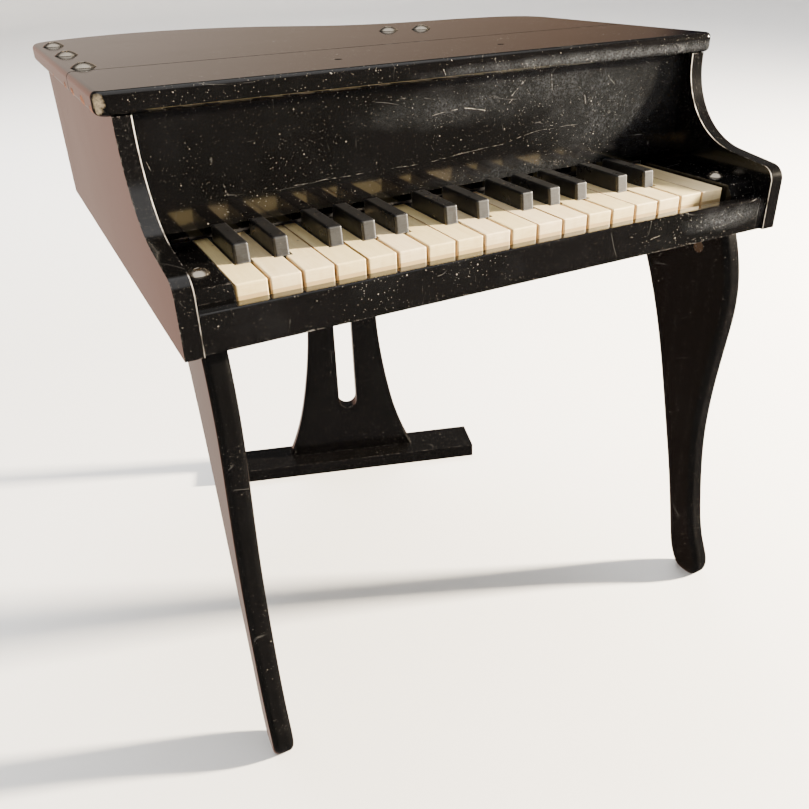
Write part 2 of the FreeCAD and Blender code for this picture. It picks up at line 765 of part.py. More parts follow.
brace = doc.addObject("Part::Box", "lid_brace_blank")
bind(brace, Length="{brace_long}", Width="{brace_thick}", Height="{case_top}-{floor_level}-{board_thick}")
brace_dx, brace_dy = turned(rear_turn, -0.5 * size("brace_long"), 0.5 * size("brace_thick"))
brace.Placement = FreeCAD.Placement(
    FreeCAD.Vector(size("brace_x") + brace_dx, size("brace_y") + brace_dy, 0),
    FreeCAD.Rotation(FreeCAD.Vector(0, 0, 1), rear_turn))
bind(brace, Placement__Base__z=block_floor)
brace_bores = [rod(f"brace_bore_{n}", (str(x), str(y), lid_seat + "-{lid_bolt_long}-1"),
                   "{shank_radius}+0.1", "60") for n, (x, y) in enumerate(bolt_spots[3:])]
keep(cut("lid_brace_bored", brace, fuse("brace_bores", brace_bores)), "lid_brace")

# ---------------------------------------------------------------- keys
WHITE_NOTES = "CDEFGAB"
SHARPS = {"C": "{shift_c_sharp}", "D": "{shift_d_sharp}", "F": "{shift_f_sharp}",
          "G": "{shift_g_sharp}", "A": "{shift_a_sharp}"}
WHITES = 18


def boundary(n):
    """Where white key n starts, with half of the gap on each side."""
    return f"({n - WHITES / 2}*{{key_pitch}})"


def black_centre(n):
    """The middle of the black key between white keys n and n + 1, or None."""
    note = WHITE_NOTES[n % 7]
    if note not in SHARPS or not 0 <= n < WHITES - 1:
        return None
    return f"({boundary(n + 1)}+({SHARPS[note]}))"


def rod_bore(body, name):
    """The hole that takes the pivot rod, right across a key."""
    sketch = sketch_on(body, name + "_bore", "YZ_Plane")
    circle = Part.Circle(point(size("pivot_y"), size("pivot_z")), FreeCAD.Vector(0, 0, 1),
                         size("pivot_rod") + size("pivot_play"))
    sketch.addGeometry(circle, False)
    radius = sketch.addConstraint(Sketcher.Constraint("Radius", 0, size("pivot_rod")))
    sketch.setExpression(f"Constraints[{radius}]", formula("{pivot_rod}+{pivot_play}"))
    for kind, text in (("DistanceX", "{pivot_y}"), ("DistanceY", "{pivot_z}")):
        index = sketch.addConstraint(Sketcher.Constraint(kind, -1, 1, 0, 3, value(text)))
        sketch.setExpression(f"Constraints[{index}]", formula(text))
    return pocket(body, sketch)


def with_hammer(body, name, x):
    """Stand the felt-tipped hammer on the key's back end."""
    hammer = rod(name + "_hammer", (x, "{hammer_y}", "{key_top}"), "{hammer_radius}", "{hammer_tall}")
    return keep(group(name + "_unit", [body, hammer]), name)


def white_key(n):
    """A wide head and a tail cut narrower beside the black keys."""
    name = f"white_key_{n + 1:02d}"
    head_left = boundary(n) + "+{key_gap}/2"
    head_right = boundary(n + 1) + "-{key_gap}/2"
    tail_left, tail_right = head_left, head_right
    before, after = black_centre(n - 1), black_centre(n)
    room = "{black_width}/2+{black_slack}"
    if before and value(f"{before}+{room}") > value(head_left):
        tail_left = f"{before}+{room}"
    if after and value(f"{after}-({room})") < value(head_right):
        tail_right = f"{after}-({room})"
    corners = [(head_left, "{key_front}"), (head_right, "{key_front}")]
    if tail_right != head_right:
        corners += [(head_right, "{notch_front}"), (tail_right, "{notch_front}")]
    corners += [(tail_right, "{key_back}"), (tail_left, "{key_back}")]
    if tail_left != head_left:
        corners += [(tail_left, "{notch_front}"), (head_left, "{notch_front}")]
    body = new_body(name + "_body")
    sketch = bound_polygon(sketch_on(body, name + "_plan", "XY_Plane", "{key_top}-{key_thick}"), corners)
    pad(body, sketch, "{key_thick}")
    bored = rod_bore(body, name)
    top, notch, front = size("key_top"), size("notch_front"), size("key_front")
    low = top - size("key_thick")
    round_edges(body, name + "_round", bored, "{key_round}",
                lambda at: at.y < notch - 1 and (near(at.z, top) or near(at.y, front) and at.z > low + 1))
    return with_hammer(body, name, f"({tail_left}+{tail_right})/2")


def black_key(number, n):
    """A raised block on a narrow lever."""
    name = f"black_key_{number:02d}"
    centre = black_centre(n)
    left = f"{centre}-{{black_width}}/2"
    right = f"{centre}+{{black_width}}/2"
    body = new_body(name + "_body")
    lever = sketch_on(body, name + "_lever", "XY_Plane", "{key_top}-{key_thick}")
    bound_polygon(lever, [(left, "{black_front}+{black_nose}"), (right, "{black_front}+{black_nose}"),
                          (right, "{key_back}"), (left, "{key_back}")])
    pad(body, lever, "{key_thick}")
    raised = sketch_on(body, name + "_block", "YZ_Plane", centre)
    bound_polygon(raised, [("{black_front}", "{key_top}-{black_seat}"),
                           ("{black_front}+{black_lean}", "{black_top}"),
                           ("{black_end}", "{black_top}"), ("{black_end}", "{key_top}-{black_seat}")])
    pad(body, raised, "{black_width}", True)
    bored = rod_bore(body, name)
    top, end = size("black_top"), size("black_end")
    upright = round_edges(body, name + "_corner", bored, "{black_corner}",
                          lambda at: size("key_top") + 1 < at.z < top - 1 and at.y < end - 1)
    round_edges(body, name + "_round", upright, "{black_round}", lambda at: near(at.z, top))
    return with_hammer(body, name, centre)


for index in range(WHITES):
    white_key(index)
sharp_places = [n for n in range(WHITES) if black_centre(n)]
for count, place in enumerate(sharp_places, start=1):
    black_key(count, place)

# ---------------------------------------------------------------- action, all fixed
wall_to_wall = "2*{panel_inner}"
key_under = "{key_top}-{key_thick}"
keep(rod("key_rod_bar", ("-{bracket_inner}-{bracket_thick}", "{pivot_y}", "{pivot_z}"), "{pivot_rod}",
         "2*({bracket_inner}+{bracket_thick})", (1, 0, 0)), "key_pivot_rod")
brackets = []
for tag, start in (("left", "-{bracket_inner}-{bracket_thick}"), ("right", "{bracket_inner}")):
    cheek = box(f"bracket_{tag}_blank", (start, "{pivot_y}-{bracket_depth}/2", block_floor),
                ("{bracket_thick}", "{bracket_depth}", "{pivot_z}+7-({floor_level}+{board_thick})"))
    bore = rod(f"bracket_{tag}_bore", ("-300", "{pivot_y}", "{pivot_z}"),
               "{pivot_rod}+0.02", "600", (1, 0, 0))
    brackets.append(cut(f"bracket_{tag}", cheek, bore))
keep(group("bracket_pair", brackets), "rod_brackets")

rest_tall = f"{key_under}-{{felt_gap}}-{{rest_felt}}-({block_floor})"
keep(box("rest_rail_bar", ("-{block_inner}", "{rest_front}", block_floor),
         ("2*{block_inner}", "{rest_depth}", rest_tall)), "rest_rail")
keep(box("rest_felt_strip", ("-{block_inner}", "{rest_front}", f"{key_under}-{{felt_gap}}-{{rest_felt}}"),
         ("2*{block_inner}", "{rest_depth}", "{rest_felt}")), "rest_felt")
keep(box("front_felt_strip", ("-{block_inner}+2", "{front_felt_start}", block_floor),
         ("2*{block_inner}-4", "{front_felt_depth}", "{front_felt}")), "front_stop_felt")
stop_front = "{fall_front}+{fall_thick}"
stop_low = "{key_top}+{felt_gap}"
keep(box("stop_felt_strip", ("-{block_inner}", stop_front, stop_low),
         ("2*{block_inner}", "{stop_depth}", "{stop_felt}")), "key_stop_felt")
keep(box("stop_rail_bar", ("-{panel_inner}", stop_front, f"{stop_low}+{{stop_felt}}"),
         (wall_to_wall, "{stop_depth}", "{stop_height}")), "key_stop_rail")

keep(box("bridge_bar", ("-{panel_inner}", "{bridge_front}", "{bridge_bottom}"),
         (wall_to_wall, "{bridge_depth}", "{bridge_top}-{bridge_bottom}")), "tone_rail")
wire_level = "{key_top}+{hammer_tall}+{strike_gap}+{wire_radius}"
clamp = box("clamp_blank", ("-{clamp_half}", "{clamp_front}", f"{wire_level}-{{clamp_side}}/2"),
            ("2*{clamp_half}", "{clamp_side}", "{clamp_side}"))
wires = []
wire_bores = []
hammers = sorted((thing for thing in doc.Objects if thing.Name.endswith("_hammer")),
                 key=lambda thing: thing.Placement.Base.x)
for n, hammer in enumerate(hammers):
    taper = round((1 - n / (len(hammers) - 1)) ** 1.5, 4)
    place = (f"{hammer.Name}.Placement.Base.x", "{wire_root}", wire_level)
    wires.append(rod(f"tone_wire_{n + 1:02d}", place, "{wire_radius}",
                     f"{{wire_short}}+({{wire_long}}-{{wire_short}})*{taper}", (0, 1, 0)))
    wire_bores.append(rod(f"clamp_bore_{n + 1:02d}", place, "{wire_radius}+0.02", "30", (0, 1, 0)))
keep(cut("clamp_bored", clamp, group("clamp_bores", wire_bores)), "tone_clamp_bar")
keep(group("tone_wires", wires), "tone_rods")

# ---------------------------------------------------------------- check and write
doc.recompute()
failed = [thing.Name for thing in doc.Objects if "Invalid" in thing.State or "Error" in thing.State]
if failed:
    raise RuntimeError(f"failed: {failed}")
os.makedirs("parts", exist_ok=True)
for node, thing in kept.items():
    shape = thing.Shape
    if shape.isNull() or not shape.isValid() or not shape.Solids:
        raise RuntimeError(f"{node} has no valid solid")
    shape.exportStep(f"parts/{node}.step")
print(len(kept), "sub-parts")
whole = Part.makeCompound([thing.Shape for thing in kept.values()]).BoundBox
print("box", [round(number, 2) for number in (whole.XMin, whole.XMax, whole.YMin, whole.YMax,
                                               whole.ZMin, whole.ZMax)])
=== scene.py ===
"""Looks, light and camera for the miniature grand piano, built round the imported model.

Frame, in metres: X to the player's right, Y away from the player, Z up from the floor.
Places and sizes on the object are in millimetres; floor, lamps and camera are in metres.
"""
import math
import random

import bmesh
import bpy
from mathutils import Matrix, Vector


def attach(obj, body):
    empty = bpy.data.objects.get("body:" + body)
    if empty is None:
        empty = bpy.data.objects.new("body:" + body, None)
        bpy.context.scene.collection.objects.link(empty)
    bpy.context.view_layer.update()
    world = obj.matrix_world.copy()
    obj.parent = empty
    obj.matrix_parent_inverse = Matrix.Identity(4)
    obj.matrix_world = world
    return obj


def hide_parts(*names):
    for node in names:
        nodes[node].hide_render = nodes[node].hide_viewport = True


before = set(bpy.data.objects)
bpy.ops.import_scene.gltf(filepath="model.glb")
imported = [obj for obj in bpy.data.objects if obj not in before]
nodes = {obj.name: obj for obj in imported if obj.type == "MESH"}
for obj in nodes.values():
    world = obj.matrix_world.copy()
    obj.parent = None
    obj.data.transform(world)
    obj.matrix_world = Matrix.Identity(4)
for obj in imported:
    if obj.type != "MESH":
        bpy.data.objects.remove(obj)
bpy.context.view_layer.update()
CASE = "piano_case"
MM = 0.001


# ------------------------------------------------------------------ node helpers
def new_material(name):
    material = bpy.data.materials.new(name)
    material.use_nodes = True
    tree = material.node_tree
    shader = tree.nodes["Principled BSDF"]
    return material, tree, shader


def add(tree, kind, **values):
    """A new node: a name with a leading capital is an input, any other name is a setting."""
    node = tree.nodes.new(kind)
    for key, value in values.items():
        if key[0].isupper():
            node.inputs[key.replace("_", " ")].default_value = value
        else:
            setattr(node, key, value)
    return node


def link(tree, source, target):
    tree.links.new(source, target)


def plug(tree, socket, value):
    """A constant or another node's output into a socket."""
    if isinstance(value, (int, float)):
        socket.default_value = value
    elif isinstance(value, (tuple, Vector)):
        socket.default_value = (*value, 1.0) if len(socket.default_value) == 4 else tuple(value)
    else:
        link(tree, value, socket)


def coordinates(tree):
    """Places on the object, in metres, which ride with it."""
    return add(tree, "ShaderNodeTexCoord").outputs["Object"]


def scaled(tree, vector, scale, shift=(0.0, 0.0, 0.0)):
    mapping = add(tree, "ShaderNodeMapping")
    mapping.inputs["Scale"].default_value = scale
    mapping.inputs["Location"].default_value = shift
    link(tree, vector, mapping.inputs["Vector"])
    return mapping.outputs["Vector"]


def squeezed(tree, vector, axis, share):
    """The same places with one axis shortened, so that a pattern runs long along it."""
    scale = [1.0, 1.0, 1.0]
    scale["XYZ".index(axis)] = share
    return scaled(tree, vector, scale)


def noise(tree, vector, scale, detail=3.0, rough=0.55):
    node = add(tree, "ShaderNodeTexNoise", Scale=scale, Detail=detail, Roughness=rough)
    link(tree, vector, node.inputs["Vector"])
    return node.outputs["Fac"]


def ramp(tree, factor, stops):
    """A colour ramp from (place, colour or grey) pairs."""
    node = add(tree, "ShaderNodeValToRGB")
    elements = node.color_ramp.elements
    while len(elements) < len(stops):
        elements.new(0.5)
    for element, (place, colour) in zip(elements, stops):
        element.position = place
        if isinstance(colour, (int, float)):
            colour = (colour, colour, colour)
        element.color = (*colour, 1.0)
    link(tree, factor, node.inputs["Fac"])
    return node.outputs["Color"]


def maths(tree, operation, first, second=None, clamp=False):
    node = add(tree, "ShaderNodeMath", operation=operation, use_clamp=clamp)
    plug(tree, node.inputs[0], first)
    if second is not None:
        plug(tree, node.inputs[1], second)
    return node.outputs[0]


def vector_maths(tree, operation, first, second, output="Vector"):
    node = add(tree, "ShaderNodeVectorMath", operation=operation)
    plug(tree, node.inputs[0], first)
    plug(tree, node.inputs[3 if operation == "SCALE" else 1], second)
    return node.outputs[output]


def product(tree, *values):
    total = values[0]
    for value in values[1:]:
        total = maths(tree, "MULTIPLY", total, value)
    return total


def greatest(tree, values):
    total = values[0]
    for value in values[1:]:
        total = maths(tree, "MAXIMUM", total, value)
    return total


def mix(tree, factor, first, second):
    """A colour mix; each side is a socket or a colour."""
    node = add(tree, "ShaderNodeMix", data_type="RGBA")
    for place, value in ((0, factor), (6, first), (7, second)):
        plug(tree, node.inputs[place], value)
    return node.outputs[2]


def bump(tree, shader, height, strength, distance):
    """Small relief on the shader; the bump node is handed back for a further one behind it."""
    node = add(tree, "ShaderNodeBump", Strength=strength, Distance=distance)
    link(tree, height, node.inputs["Height"])
    link(tree, node.outputs["Normal"], shader.inputs["Normal"])
    return node


def parts_of(tree, vector):
    """The X, Y and Z of a vector."""
    node = add(tree, "ShaderNodeSeparateXYZ")
    link(tree, vector, node.inputs[0])
    return node.outputs


def facing(tree):
    """The X, Y and Z of the surface's direction."""
    return parts_of(tree, add(tree, "ShaderNodeNewGeometry").outputs["Normal"])


def millimetres(tree, metres):
    return maths(tree, "MULTIPLY", metres, 1000.0)


def opposite(tree, value):
    return maths(tree, "MULTIPLY", value, -1.0)


def shade(colour, share):
    return tuple(share * part for part in colour)


# ------------------------------------------------------------------ wear patterns
def edge_mask(tree, low, high, sides=0.0015):
    """Where the surface turns sharply: bright on edges, from the bevelled normal."""
    rounded = add(tree, "ShaderNodeBevel", samples=4, Radius=sides).outputs["Normal"]
    straight = add(tree, "ShaderNodeNewGeometry").outputs["Normal"]
    likeness = vector_maths(tree, "DOT_PRODUCT", rounded, straight, "Value")
    return ramp(tree, maths(tree, "SUBTRACT", 1.0, likeness), [(low, 0.0), (high, 1.0)])


def hairlines(tree, place, scale, stretch, seed, width=0.0018):
    """Long wavering hairlines: contour lines of a slow noise, broken into patches."""
    moved = scaled(tree, place, stretch, (0.37 * seed, 0.11 * seed, 0.53 * seed))
    slow = noise(tree, moved, scale, 0.0)
    away = maths(tree, "ABSOLUTE", maths(tree, "SUBTRACT", slow, 0.5))
    line = ramp(tree, away, [(width * 0.3, 1.0), (width, 0.0)])
    patch = ramp(tree, noise(tree, moved, scale * 2.3, 3.0), [(0.58, 0.0), (0.66, 1.0)])
    return product(tree, line, patch)


def specks(tree, place, scale, share, seed):
    """Scattered dust: each cell holds a speck of its own size, and many hold none."""
    node = add(tree, "ShaderNodeTexVoronoi", Scale=scale)
    moved = scaled(tree, place, (1.0, 1.0, 1.0), (seed, 0.7 * seed, 0.3 * seed))
    link(tree, moved, node.inputs["Vector"])
    lot = parts_of(tree, node.outputs["Color"])[0]
    size = maths(tree, "MULTIPLY", maths(tree, "SUBTRACT", lot, 1.0 - share), 0.30 / share)
    return maths(tree, "MULTIPLY", maths(tree, "SUBTRACT", size, node.outputs["Distance"]), 9.0, True)


def spot(tree, place, centre, reach, ragged, grain, steep=3.0):
    """A ragged patch round a place; steep sets how fast it ends."""
    offset = vector_maths(tree, "SUBTRACT", place, Vector(centre) * MM)
    shrunk = vector_maths(tree, "MULTIPLY", offset, Vector(1.0 / (r * MM) for r in reach))
    away = vector_maths(tree, "LENGTH", shrunk, (0.0, 0.0, 0.0), "Value")
    swing = maths(tree, "SUBTRACT", noise(tree, place, grain, 4.0, 0.65), 0.5)
    torn = maths(tree, "MULTIPLY", swing, 2.4 * ragged)
    inside = maths(tree, "SUBTRACT", 1.0, maths(tree, "ADD", away, torn))
    return maths(tree, "MULTIPLY", inside, steep, True)


def stroke(tree, place, start, end, width):
    """A thin scratch between two places."""
    start, end = Vector(start) * MM, Vector(end) * MM
    along = end - start
    offset = vector_maths(tree, "SUBTRACT", place, start)
    reached = vector_maths(tree, "DOT_PRODUCT", offset, along, "Value")
    share = maths(tree, "DIVIDE", reached, along.length_squared, True)
    nearest = vector_maths(tree, "SCALE", along, share)
    gap = vector_maths(tree, "DISTANCE", offset, nearest, "Value")
    return maths(tree, "SUBTRACT", 1.0, maths(tree, "DIVIDE", gap, width * MM), True)


def strokes(tree, place, runs, wander=0.9):
    """Scratches along runs of places; each run is (width, points)."""
    jitter = add(tree, "ShaderNodeTexNoise", Scale=75.0, Detail=2.0)
    link(tree, place, jitter.inputs["Vector"])
    sway = vector_maths(tree, "SUBTRACT", jitter.outputs["Color"], (0.5, 0.5, 0.5))
    swayed = vector_maths(tree, "ADD", place, vector_maths(tree, "SCALE", sway, 2.0 * wander * MM))
    lines = [stroke(tree, swayed, start, end, 0.50 * width)
             for width, points in runs for start, end in zip(points, points[1:])]
    broken = ramp(tree, noise(tree, place, 480.0, 4.0, 0.7), [(0.40, 0.12), (0.58, 1.0)])
    return product(tree, greatest(tree, lines), broken)


# ------------------------------------------------------------------ materials
JET = (0.0016, 0.0015, 0.0015)
CREAM = (0.40, 0.32, 0.20)
RAW_WOOD = (0.52, 0.19, 0.08)
DUST = (0.50, 0.46, 0.41)
SMOKE = (0.21, 0.23, 0.26)
SCRATCH = (0.26, 0.25, 0.24)
DEEP_SCRATCH = (0.48, 0.46, 0.43)
RUBBED = (0.22, 0.20, 0.19)
# pale arris on the arms: worn paint and a painted highlight
BARE_AND_LIT_ARRIS = (0.88, 0.84, 0.78)


def smoky_film(tree, place, scuff, hazes, film, seed):
    """A smoky film on the gloss: faint all over, thick and gritty in the hazes."""
    faint = ramp(tree, noise(tree, place, 26.0, 6.0, 0.72), [(0.50, 0.0), (0.72, 1.0)])
    faint = product(tree, faint, 0.05 * scuff)
    if not hazes:
        return faint
    field = greatest(tree, [spot(tree, place, centre, reach, 0.35, 45.0, 1.3) for centre, reach in hazes])
    moved = scaled(tree, place, (1.0, 1.0, 0.75), (seed, 0.0, 0.0))
    smear = ramp(tree, noise(tree, moved, 105.0, 10.0, 0.85), [(0.40, 0.28), (0.80, 1.0)])
    grit = ramp(tree, noise(tree, place, 680.0, 6.0, 0.85), [(0.40, 0.12), (0.62, 1.0)])
    return maths(tree, "ADD", faint, product(tree, smear, field, grit, film), True)


def settled_dust(tree, place, dust, seed):
    coarse = specks(tree, place, 430.0, 0.06, seed)
    fine = specks(tree, place, 1050.0, 0.26, seed + 3.0)
    crowd = ramp(tree, noise(tree, place, 19.0, 3.0), [(0.40, 0.20), (0.62, 1.0)])
    return product(tree, greatest(tree, [coarse, fine]), crowd, dust)


def worn_and_lit_arm_edge(tree, place, colour, arm_edge):
    """The pale arris along the inner front edge of each arm, partly worn paint and partly a painted
    highlight, whole above and broken below.
    """
    outward = maths(tree, "ABSOLUTE", parts_of(tree, place)[0])
    beside = millimetres(tree, maths(tree, "SUBTRACT", outward, arm_edge * MM))
    line = ramp(tree, beside, [(0.35, 1.0), (0.8, 0.0)])
    ahead = ramp(tree, opposite(tree, facing(tree)[1]), [(0.20, 0.0), (0.40, 1.0)])
    strewn = ramp(tree, noise(tree, place, 620.0, 7.0, 0.85), [(0.58, 0.0), (0.68, 1.0)])
    high = ramp(tree, parts_of(tree, place)[2], [(0.385, 0.22), (0.425, 1.0)])
    patchy = ramp(tree, noise(tree, place, 130.0, 4.0), [(0.36, 0.15), (0.56, 1.0)])
    uneven = product(tree, high, patchy)
    colour = mix(tree, product(tree, ahead, strewn, uneven, 0.28), colour, SCRATCH)
    # painted highlight and worn paint along the inner front edge
    return mix(tree, product(tree, ahead, line, uneven, 0.95), colour, BARE_AND_LIT_ARRIS)


def eased_joint(tree, place, relief, groove):
    """The eased arris on each side of a joint across the lid, behind the bump node relief."""
    away = maths(tree, "ABSOLUTE", maths(tree, "SUBTRACT", parts_of(tree, place)[1], groove * MM))
    dip = ramp(tree, maths(tree, "MULTIPLY", away, 500.0), [(0.2, 0.0), (0.85, 1.0)])
    arris = add(tree, "ShaderNodeBump", Strength=1.0, Distance=0.0022)
    link(tree, dip, arris.inputs["Height"])
    link(tree, arris.outputs["Normal"], relief.inputs["Normal"])


def lacquer(name, dust, wear, scuff, seed, rough, scratches=(), hazes=(), chips=(), film=0.50,
            arm_edge=None, groove=None):
    """Black lacquer over plywood: deep gloss with dust, hairlines, smoky scuffs and rubbed edges."""
    material, tree, shader = new_material(name)
    place = coordinates(tree)
    tone = mix(tree, noise(tree, place, 14.0), JET, shade(JET, 1.8))
    smoky = smoky_film(tree, place, scuff, hazes, film, seed)
    dirt = settled_dust(tree, place, dust, seed)
    line_a = hairlines(tree, place, 9.0, (1.0, 1.6, 3.2), seed)
    line_b = hairlines(tree, place, 13.0, (2.6, 1.3, 1.0), seed + 1.6)
    lines = product(tree, greatest(tree, [line_a, line_b]), scuff)
    broken = ramp(tree, noise(tree, place, 240.0, 6.0, 0.78), [(0.50, 0.0), (0.58, 1.0)])
    rubbed = product(tree, edge_mask(tree, 0.03, 0.14), broken, wear)
    colour = mix(tree, product(tree, smoky, 0.35), tone, SMOKE)
    colour = mix(tree, dirt, colour, DUST)
    colour = mix(tree, product(tree, lines, 0.40), colour, SCRATCH)
    colour = mix(tree, product(tree, rubbed, 0.55), colour, RUBBED)
    # the arms' inner front arris: worn paint and a painted highlight
    if arm_edge is not None:
        colour = worn_and_lit_arm_edge(tree, place, colour, arm_edge)
    if scratches:
        deep = strokes(tree, place, scratches)
        colour = mix(tree, product(tree, deep, 0.75), colour, DEEP_SCRATCH)
        lines = greatest(tree, [lines, deep])
    rawness = 0.0
    for centre, reach, bare in chips:
        chip = spot(tree, place, centre, reach, 0.50, 210.0)
        fibre = noise(tree, scaled(tree, place, (0.3, 1.0, 1.0)), 520.0, 5.0, 0.7)
        grain = ramp(tree, fibre, [(0.38, 0.0), (0.62, 1.0)])
        colour = mix(tree, chip, colour, mix(tree, grain, shade(bare, 0.42), bare))
        rawness = maths(tree, "MAXIMUM", rawness, chip)
    link(tree, colour, shader.inputs["Base Color"])
    gloss = ramp(tree, noise(tree, place, 9.0, 4.0), [(0.3, rough), (0.75, rough + 0.06)])
    for extra, share in ((lines, 0.30), (smoky, 0.40), (dirt, 0.5), (rubbed, 0.3), (rawness, 0.55)):
        gloss = maths(tree, "ADD", gloss, maths(tree, "MULTIPLY", extra, share), True)
    link(tree, gloss, shader.inputs["Roughness"])
    shader.inputs["IOR"].default_value = 1.5
    shader.inputs["Specular IOR Level"].default_value = 0.5
    ripple = noise(tree, place, 30.0, 2.0)
    height = maths(tree, "SUBTRACT", product(tree, ripple, 0.30), product(tree, lines, 0.5))
    relief = bump(tree, shader, height, 0.04, 0.0005)
    if groove is not None:
        eased_joint(tree, place, relief, groove)
    return material


def wood(name, pale, dark, along, rough, ring=150.0):
    """Bare or thinly coated wood: fibres along one axis, slow bands and pores."""
    material, tree, shader = new_material(name)
    place = coordinates(tree)
    fibre_place = squeezed(tree, place, along, 0.045)
    fibre = noise(tree, fibre_place, ring * 6.0, 6.0, 0.7)
    band = noise(tree, fibre_place, ring, 3.0, 0.5)
    slow = noise(tree, place, 7.0, 2.0)
    blend = maths(tree, "ADD", product(tree, fibre, 0.5), product(tree, band, 0.5))
    colour = mix(tree, ramp(tree, blend, [(0.36, 0.0), (0.66, 1.0)]), dark, pale)
    colour = mix(tree, product(tree, slow, 0.22), colour, shade(dark, 0.86))
    link(tree, colour, shader.inputs["Base Color"])
    gloss = ramp(tree, fibre, [(0.3, rough), (0.8, rough + 0.16)])
    link(tree, gloss, shader.inputs["Roughness"])
    bump(tree, shader, fibre, 0.22, 0.00025)
    return material


# painted shadow of the front rail: a tan band across the lower part of each key's front, below this height
RAIL_SHADOW_TOP = 378.9
KEY_SIDE = (0.56, 0.36, 0.17)
RAIL_SHADOW_TAN = (0.52, 0.36, 0.17)
KEY_GRUBBY = (0.40, 0.30, 0.20)
KEY_FLECK = (0.16, 0.11, 0.07)
# painted highlight along the keys' edges
KEY_EDGE_HIGHLIGHT = (0.95, 0.92, 0.84)


def key_wood(name, tone, warmth, seed):
    """A cream key: grain along its top and across its front, tan sides, grubby patches, painted highlights
    on its edges and a painted shadow of the rail low on its front.
    """
    material, tree, shader = new_material(name)
    place = coordinates(tree)
    normal = facing(tree)
    shift = (0.31 * seed, 0.0, 0.17 * seed)
    lengthwise = scaled(tree, place, (1.0, 0.05, 0.35), shift)
    crosswise = scaled(tree, place, (0.08, 0.5, 1.0), shift)
    front = ramp(tree, opposite(tree, normal[1]), [(0.45, 0.0), (0.75, 1.0)])
    along_top = noise(tree, lengthwise, 900.0, 5.0, 0.65)
    across_front = noise(tree, crosswise, 1300.0, 5.0, 0.7)
    grain = mix(tree, front, along_top, across_front)
    band = noise(tree, lengthwise, 190.0, 2.0, 0.5)
    blend = maths(tree, "ADD", product(tree, grain, 0.6), product(tree, band, 0.4))
    pale = shade((0.93, 0.77, 0.49 - 0.08 * warmth), tone)
    warm = shade((0.79, 0.61, 0.34 - 0.06 * warmth), tone)
    colour = mix(tree, ramp(tree, blend, [(0.36, 0.0), (0.64, 1.0)]), warm, pale)
    side = ramp(tree, maths(tree, "ABSOLUTE", normal[0]), [(0.55, 0.0), (0.85, 1.0)])
    colour = mix(tree, product(tree, side, 0.70), colour, KEY_SIDE)
    grubby = ramp(tree, noise(tree, place, 120.0, 4.0, 0.6), [(0.55, 0.0), (0.72, 1.0)])
    colour = mix(tree, product(tree, grubby, 0.12), colour, KEY_GRUBBY)
    colour = mix(tree, product(tree, specks(tree, place, 240.0, 0.05, seed), 0.55), colour, KEY_FLECK)
    # painted shadow of the front rail across the lower part of each key's front
    below = millimetres(tree, maths(tree, "SUBTRACT", RAIL_SHADOW_TOP * MM, parts_of(tree, place)[2]))
    foot = product(tree, front, ramp(tree, below, [(0.0, 0.0), (0.35, 1.0)]))
    colour = mix(tree, product(tree, foot, 0.85), colour, RAIL_SHADOW_TAN)
    # painted highlight: every edge of the key is painted paler
    edge = edge_mask(tree, 0.03, 0.16, 0.0009)
    colour = mix(tree, product(tree, edge, 0.45), colour, KEY_EDGE_HIGHLIGHT)
    link(tree, colour, shader.inputs["Base Color"])
    gloss = ramp(tree, grain, [(0.3, 0.38), (0.8, 0.54)])
    link(tree, gloss, shader.inputs["Roughness"])
    shader.inputs["Coat Weight"].default_value = 0.12
    shader.inputs["Coat Roughness"].default_value = 0.25
    bump(tree, shader, grain, 0.20, 0.0002)
    return material


def key_black(name):
    """Satin black paint: a charcoal front, lighter partly from its end grain and partly as painted light, a
    dusty black top, and chamfers paler from rubbing and from a painted highlight.
    """
    material, tree, shader = new_material(name)
    place = coordinates(tree)
    normal = facing(tree)
    front = ramp(tree, opposite(tree, normal[1]), [(0.55, 0.0), (0.85, 1.0)])
    top = ramp(tree, normal[2], [(0.6, 0.0), (0.9, 1.0)])
    end_grain = noise(tree, scaled(tree, place, (0.25, 1.0, 1.0)), 900.0, 5.0, 0.7)
    lit = ramp(tree, end_grain, [(0.36, 0.0), (0.64, 1.0)])
    # the front is painted lighter than the top: partly its end grain, partly painted light where the low
    # lamp falls on the front
    charcoal = mix(tree, lit, (0.004, 0.0045, 0.006), (0.018, 0.021, 0.026))
    body = mix(tree, noise(tree, place, 40.0), (0.006, 0.006, 0.0065), (0.011, 0.011, 0.012))
    colour = mix(tree, front, body, charcoal)
    on_top = maths(tree, "ADD", 0.15, top, True)
    dust = product(tree, specks(tree, place, 420.0, 0.30, 5.0), on_top, 0.45)
    colour = mix(tree, dust, colour, (0.42, 0.35, 0.26))
    # the chamfers are painted paler: partly rubbed paint, partly a painted highlight
    edge = edge_mask(tree, 0.02, 0.12, 0.0011)
    wear_and_glint = ramp(tree, noise(tree, place, 170.0, 4.0, 0.6), [(0.35, 0.45), (0.62, 1.0)])
    colour = mix(tree, product(tree, edge, wear_and_glint, 0.48), colour, (0.34, 0.35, 0.36))
    link(tree, colour, shader.inputs["Base Color"])
    gloss = ramp(tree, noise(tree, place, 60.0, 4.0), [(0.3, 0.24), (0.75, 0.38)])
    gloss = maths(tree, "ADD", gloss, product(tree, front, 0.22), True)
    link(tree, gloss, shader.inputs["Roughness"])
    bump(tree, shader, noise(tree, scaled(tree, place, (1.0, 0.12, 1.0)), 700.0, 4.0), 0.18, 0.0002)
    return material


